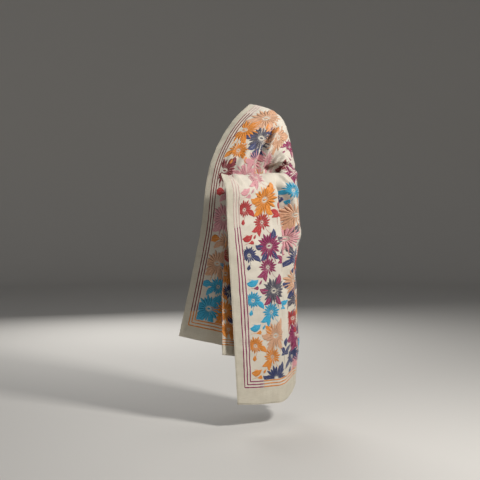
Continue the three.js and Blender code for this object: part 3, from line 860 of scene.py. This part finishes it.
# %% Embroidered pieces, one for each thread
embroidery = {}
pale_parts = []
for thread in sorted(paths_by_thread):
    rows = paths_by_thread[thread]
    across, down, width, over = (np.concatenate([row[k] for row in rows]) for k in range(4))
    parts = carried_blades(across, down, width, THREAD_RISE + LAYER * len(embroidery) + over)
    if thread in ovals_by_thread:
        parts += carried_middles(ovals_by_thread[thread])
    pale_parts += carried_veins(across, down, width)
    embroidery[thread] = new_piece(f"embroidery_{thread}", *join(parts))
pale_parts += carried_rings([oval for ovals in ovals_by_thread.values() for oval in ovals])
embroidery["ecru"] = new_piece("embroidery_ecru", *join(pale_parts))

# %% [markdown]
# ## The border lines
#
# Three stitched lines run around the cloth, a hand's breadth in from the hems, and turn its corners
# together. Their thread changes colour along the way, so each line is a list of stretches.

# %% Border lines
LINE_HALF_WIDTH = 3.7
# Columns: distance of each line from the neck edge, the hand edge, the first hem and the second hem
BORDER_LINES = [(31, 36, 56, 77), (43, 49, 69, 90), (55, 62, 82, 103)]
# Columns: side, from and to as mm from the first hem on the long edges or mm across on the hems, thread
BORDER_THREADS = [
    ("neck", 0, 118, "orange"), ("neck", 118, 1010, "maroon"), ("neck", 1010, 1320, "blush"),
    ("neck", 1320, 1700, "turquoise"), ("neck", 1700, CLOTH_LENGTH, "orange"),
    ("hand", 0, 360, "orange"), ("hand", 360, 700, "maroon"), ("hand", 700, 1205, "blush"),
    ("hand", 1205, CLOTH_LENGTH, "magenta"),
    ("first hem", 0, CLOTH_WIDTH, "orange"),
    ("second hem", 0, 772, "orange"), ("second hem", 772, CLOTH_WIDTH, "magenta"),
]


def line_ends(side, start, end, line):
    """Both ends of one stretch of a border line, drawn in to the line's own corners."""
    neck, hand, first, second = line
    low, high = (neck, CLOTH_WIDTH - hand), (first, CLOTH_LENGTH - second)
    if side in ("neck", "hand"):
        across = neck if side == "neck" else CLOTH_WIDTH - hand
        return (across, max(start, high[0])), (across, min(end, high[1]))
    down = first if side == "first hem" else CLOTH_LENGTH - second
    return (max(start, low[0]), down), (min(end, low[1]), down)


line_parts = {}
for side, start, end, thread in BORDER_THREADS:
    for line in BORDER_LINES:
        across, down = edge_path(*line_ends(side, start, end, line))
        width = np.full_like(across, LINE_HALF_WIDTH)
        line_parts.setdefault(thread, []).extend(
            carry_on_both(across, down, width, THREAD_RISE, THREAD_SINK, 2))
borders = {thread: new_piece(f"border_{thread}", *join(parts))
           for thread, parts in sorted(line_parts.items())}

# %% [markdown]
# ## Materials
#
# Shader maths reads best as ordinary expressions. This small class wraps a node's output, and each
# operator adds the Math node that does it. Any other node comes from one method.

# %% Shader expressions
def operator(operation, flipped=False):
    """A method that adds the Math node of an operation on a Field and what it is combined with."""
    def method(field, *others):
        values = (*others, field) if flipped else (field, *others)
        return add_node(field.tree, "ShaderNodeMath", {"operation": operation}, dict(enumerate(values)))

    return method


class Field:
    """A number, colour or vector that varies over a surface: one output of a node tree."""

    def __init__(self, tree, socket):
        self.tree, self.socket = tree, socket

    __add__, __radd__ = operator("ADD"), operator("ADD", flipped=True)
    __sub__, __rsub__ = operator("SUBTRACT"), operator("SUBTRACT", flipped=True)
    __mul__, __rmul__ = operator("MULTIPLY"), operator("MULTIPLY", flipped=True)
    __truediv__ = operator("DIVIDE")
    least, sine, size = operator("MINIMUM"), operator("SINE"), operator("ABSOLUTE")
    part, whole = operator("FRACT"), operator("FLOOR")

    def smooth(self, low, high):
        """0 at low, 1 at high, and a soft step between."""
        return add_node(self.tree, "ShaderNodeMapRange", {"interpolation_type": "SMOOTHSTEP"},
                        {0: self, 1: low, 2: high, 3: 0.0, 4: 1.0})


def add_node(tree, kind, settings, values, output=0):
    """Adds a node, sets its settings, then gives its sockets values or links, and returns an output."""
    node = tree.nodes.new(kind)
    for name, setting in settings.items():
        setattr(node, name, setting)
    for key, value in values.items():
        if isinstance(value, Field):
            tree.links.new(value.socket, node.inputs[key])
        else:
            node.inputs[key].default_value = value
    return Field(tree, node.outputs[output])


def linear(red, green, blue):
    """An everyday 0-255 screen colour as Blender's linear colour."""
    parts = [c / 255 for c in (red, green, blue)]
    return (*[c / 12.92 if c < 0.04045 else ((c + 0.055) / 1.055) ** 2.4 for c in parts], 1)


def mixed(tree, factor, first, second):
    """Two colours mixed by a factor: 0 gives the first and 1 the second."""
    return add_node(tree, "ShaderNodeMix", {"data_type": "RGBA"}, {0: factor, 6: first, 7: second}, output=2)


def new_finish(name, constants):
    """An empty principled material with its constant values set on the shader's own sockets."""
    material = bpy.data.materials.new(name)
    material.use_nodes = True
    shader = material.node_tree.nodes["Principled BSDF"]
    for socket, value in constants.items():
        shader.inputs[socket].default_value = value
    return material, material.node_tree, shader


def places_on_cloth(tree):
    """The piece's UV map in mm: two Fields."""
    uv = add_node(tree, "ShaderNodeUVMap", {"uv_map": "cloth"}, {})
    apart = tree.nodes.new("ShaderNodeSeparateXYZ")
    tree.links.new(uv.socket, apart.inputs[0])
    return Field(tree, apart.outputs[0]) * 1000, Field(tree, apart.outputs[1]) * 1000


def noise(tree, x, y, z, detail):
    """Noise over a stretched space: one unit of x, y or z is one lump. Values around 0.5."""
    vector = add_node(tree, "ShaderNodeCombineXYZ", {}, {0: x, 1: y, 2: z})
    return add_node(tree, "ShaderNodeTexNoise", {"noise_dimensions": "3D"},
                    {"Vector": vector, "Scale": 1.0, "Detail": detail})


def finish_shader(tree, shader, colour, roughness, height):
    """Links a colour, a roughness and a bump height in mm to the shader."""
    bump = add_node(tree, "ShaderNodeBump", {}, {"Strength": 1.0, "Distance": MM, "Height": height})
    tree.links.new(colour.socket, shader.inputs["Base Color"])
    tree.links.new(roughness.socket, shader.inputs["Roughness"])
    tree.links.new(bump.socket, shader.inputs["Normal"])


# %% [markdown]
# Tussar is reeled from wild cocoons, so its threads are uneven: thick stretches, called slubs, run
# across and along the weave and catch the light. The plain bands outside the border lines show it
# best. Inside them the running stitches pull the ground into soft puckers.

# %% Tussar silk
SILK_LIGHT = linear(212, 204, 190)
SILK_DARK = linear(168, 154, 130)
SILK_BAND = linear(204, 197, 180)
THREAD_PITCH = 0.62  # mm from one thread of the weave to the next
PUCKER_PITCH = (6.2, 8.4)  # mm across and down from one stitched dimple to the next
BAND_EDGE = (30.0, 37.0)  # the plain band fades out between these distances from a long edge
BAND_RATIO = (1.6, 2.1)  # how many times as wide it is at the first hem and at the second
# mm across and down of one lump of noise
WEFT_SLUB = (34, 1.5)
WARP_SLUB = (1.3, 46)
CLOUD = (90, 110)
PUCKER = (9, 7)


def tussar_silk():
    """Slubs are noise stretched along a thread and darken the silk, more so in the plain bands. The
    weave is the product of two sines, and puckers rise inside the border lines only."""
    material, tree, shader = new_finish("tussar_silk", {
        "Sheen Weight": 0.25, "Sheen Roughness": 0.45, "Sheen Tint": (1.0, 0.96, 0.88, 1),
        "Specular IOR Level": 0.35})
    across, down = places_on_cloth(tree)

    def lumps(size, layer, detail):
        return noise(tree, across / size[0], down / size[1], layer, detail)

    weft_slub = lumps(WEFT_SLUB, 0.0, 3.0)
    warp_slub = lumps(WARP_SLUB, 7.0, 3.0)
    from_hems = (down / BAND_RATIO[0]).least((CLOTH_LENGTH - down) / BAND_RATIO[1])
    band = 1 - across.least(CLOTH_WIDTH - across).least(from_hems).smooth(*BAND_EDGE)
    slub = weft_slub.smooth(0.48, 0.74) * 0.7 + warp_slub.smooth(0.50, 0.76) * 0.6
    ground = mixed(tree, band, SILK_LIGHT, SILK_BAND)
    streaked = mixed(tree, slub * (0.26 + band * 0.30), ground, SILK_DARK)
    colour = mixed(tree, lumps(CLOUD, 3.0, 2.0).smooth(0.35, 0.75) * 0.14, streaked, SILK_DARK)

    def wave(place, pitch):
        return (place * (2 * math.pi / pitch)).sine()

    weave = wave(across, THREAD_PITCH) * wave(down, THREAD_PITCH)
    dimples = wave(down, PUCKER_PITCH[1]) * wave(across, PUCKER_PITCH[0]).smooth(-0.2, 0.4)
    height = (weave * 0.05 + weft_slub * 0.35 + warp_slub * 0.25
              + (1 - band) * (lumps(PUCKER, 11.0, 2.0) * 0.9 + dimples * 0.10))
    roughness = 0.66 - slub * 0.12
    finish_shader(tree, shader, colour, roughness, height)
    return material


# %% [markdown]
# Each blade is filled with rows of running stitches along its length. A row is a soft ridge across the
# blade, and the gaps between its stitches let the silk show. Rows lie side by side with their gaps out
# of step, as a hand works them.

# %% Embroidery thread
ROW_PITCH = 1.45  # mm from one row of stitches to the next
STITCH_PITCH = 5.2  # mm from one stitch of a row to the next
STITCH_SHARE = 0.86  # of that pitch is thread, and the rest is a gap
ROW_SHIFT = 0.37  # of a stitch's pitch, from each row to the next
DYE_DARK = 0.70  # times the thread's colour
DYE_PALE = 0.04  # of the way to white
SILK_SHOWING = 0.26  # of the way to the silk's colour, in the gaps


def embroidery_thread(name, colour):
    """Between rows and between the stitches of a row the thread fades towards the silk. Along each row
    noise makes the dye darker and paler, and a fine sine gives the thread's twist."""
    material, tree, shader = new_finish(name, {
        "Sheen Weight": 0.2, "Sheen Roughness": 0.35, "Specular IOR Level": 0.45})
    offset, run = places_on_cloth(tree)
    row = offset / ROW_PITCH
    row_number = row.whole()
    beside = (row.part() - 0.5).size()
    along_stitch = ((run / STITCH_PITCH + row_number * ROW_SHIFT).part() - 0.5).size()
    stitch = 1 - along_stitch.smooth(STITCH_SHARE / 2, STITCH_SHARE / 2 + 0.07)
    thread = (1 - beside.smooth(0.34, 0.50) * 0.55) * stitch
    shade = noise(tree, offset / 3.0, run / 14.0, row_number, 2.0)
    dark = tuple(c * DYE_DARK for c in colour[:3]) + (1,)
    pale = tuple(c + (1 - c) * DYE_PALE for c in colour[:3]) + (1,)
    dyed = mixed(tree, shade.smooth(0.32, 0.70), dark, pale)
    gap = tuple((1 - SILK_SHOWING) * c + SILK_SHOWING * s for c, s in zip(colour[:3], SILK_LIGHT)) + (1,)
    seen = mixed(tree, thread.smooth(0.05, 0.45), gap, dyed)
    twist = (run * 5.2 + offset * 3.4).sine()
    height = thread * 0.42 + twist * 0.03
    finish_shader(tree, shader, seen, 0.60 - thread * 0.14, height)
    return material


THREAD_COLOURS = {
    "orange": (236, 142, 26), "red": (190, 32, 36), "navy": (32, 46, 104), "magenta": (152, 16, 88),
    "turquoise": (24, 168, 210), "grey": (84, 80, 96), "peach": (226, 172, 134), "pink": (226, 158, 164),
    "blush": (222, 188, 180), "maroon": (132, 26, 38), "ecru": (228, 220, 204),
}
silk = tussar_silk()
threads = {name: embroidery_thread(f"{name}_thread", linear(*screen))
           for name, screen in THREAD_COLOURS.items()}
for piece in (cloth, hems):
    piece.data.materials.append(silk)
for pieces in (embroidery, borders):
    for name, piece in pieces.items():
        piece.data.materials.append(threads[name])
print(len(threads), "threads")

# %% [markdown]
# ## The stage
#
# A pale round floor that curves up into a pale wall. A flat one at the back would hide the cloth from
# behind, so the wall goes all the way around. A small key light near the cloth at its front right draws
# the folds. A wide weak one at the front left and one above fill the shadows, and a wide one behind
# lights the cloth's back.

# %% The floor and the wall
# Metres
FLOOR_HEIGHT = -1.44
FLOOR_RINGS = [0.0001, 2.0, 4.0]  # the first is a hole too small to see
WALL_DISTANCE, WALL_HEIGHT, WALL_TURN = 8.0, 4.5, 1.6


def backdrop():
    """A round floor that turns up through a quarter circle into a wall all the way around."""
    bend = np.radians(np.linspace(0, 90, 17))
    turned = WALL_DISTANCE - WALL_TURN + WALL_TURN * np.sin(bend)
    radius = np.concatenate([FLOOR_RINGS, turned, [WALL_DISTANCE]])
    rise = np.concatenate([[0] * len(FLOOR_RINGS), WALL_TURN * (1 - np.cos(bend)), [WALL_HEIGHT]])
    z = FLOOR_HEIGHT + rise
    around = np.radians(np.linspace(0, 360, 97))[:, None]
    points = np.stack(np.broadcast_arrays(radius * np.cos(around), radius * np.sin(around), z), -1)
    points = points.reshape(-1, 3) / MM
    index = np.arange(len(points)).reshape(len(around), -1)
    quads = np.stack([index[:-1, :-1], index[:-1, 1:], index[1:, 1:], index[1:, :-1]], -1).reshape(-1, 4)
    return new_piece("studio_floor", points, [quads], points[:, :2])


floor = backdrop()
paint = {"Base Color": linear(206, 203, 198), "Roughness": 0.9}
floor.data.materials.append(new_finish("pale_paint", paint)[0])

# %% The lights
LIT_PLACE = (-0.05, -0.1, -0.6)
# Columns: name, place and width in metres, power in watts, colour
LIGHTS = [
    ("key_light", (1.7, -1.5, 0.9), 0.4, 74, (1.0, 0.98, 0.95)),
    ("side_light", (-2.2, -3.0, 0.3), 1.6, 13, (0.96, 0.98, 1.0)),
    ("top_light", (0.2, 1.2, 2.2), 1.6, 14, (1.0, 1.0, 1.0)),
    ("back_light", (-1.0, 3.2, 0.5), 1.6, 60, (1.0, 0.99, 0.97)),
]


def soft_light(name, place, width, power, colour):
    """A square light that looks at LIT_PLACE: tipped up from straight down, then turned around Z."""
    light = bpy.data.lights.new(name, "AREA")
    light.size, light.energy, light.color = width, power, colour
    lamp = bpy.data.objects.new(name, light)
    lamp.location = place
    aim = np.array(LIT_PLACE) - np.array(place)
    pitch = math.atan2(math.hypot(aim[0], aim[1]), -aim[2])
    lamp.rotation_euler = (pitch, 0, math.atan2(aim[1], aim[0]) - math.pi / 2)
    bpy.context.scene.collection.objects.link(lamp)


for light_row in LIGHTS:
    soft_light(*light_row)
print(len(LIGHTS), "lights")

# %% The surroundings
world = bpy.data.worlds.new("studio")
world.use_nodes = True
sky = world.node_tree.nodes["Background"]
sky.inputs["Color"].default_value = (0.86, 0.88, 0.92, 1)
sky.inputs["Strength"].default_value = 0.12
bpy.context.scene.world = world
bpy.context.scene.view_settings.view_transform = "Standard"
print("world", world.name)

# %% [markdown]
# ## The body
#
# Every piece rides on the one body and takes its finish from a slot. The silk stands for all the packed
# stretches of the cloth, which are hidden.

# %% The body, and the hidden stretches
worked = [*embroidery.values(), *borders.values()]
for piece in (cloth, hems, *worked):
    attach(piece, "root")
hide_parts("chest_fall", "shoulder_wrap", "back_fall", "inner_fall", "forearm_wrap", "side_fall",
            "front_fall")
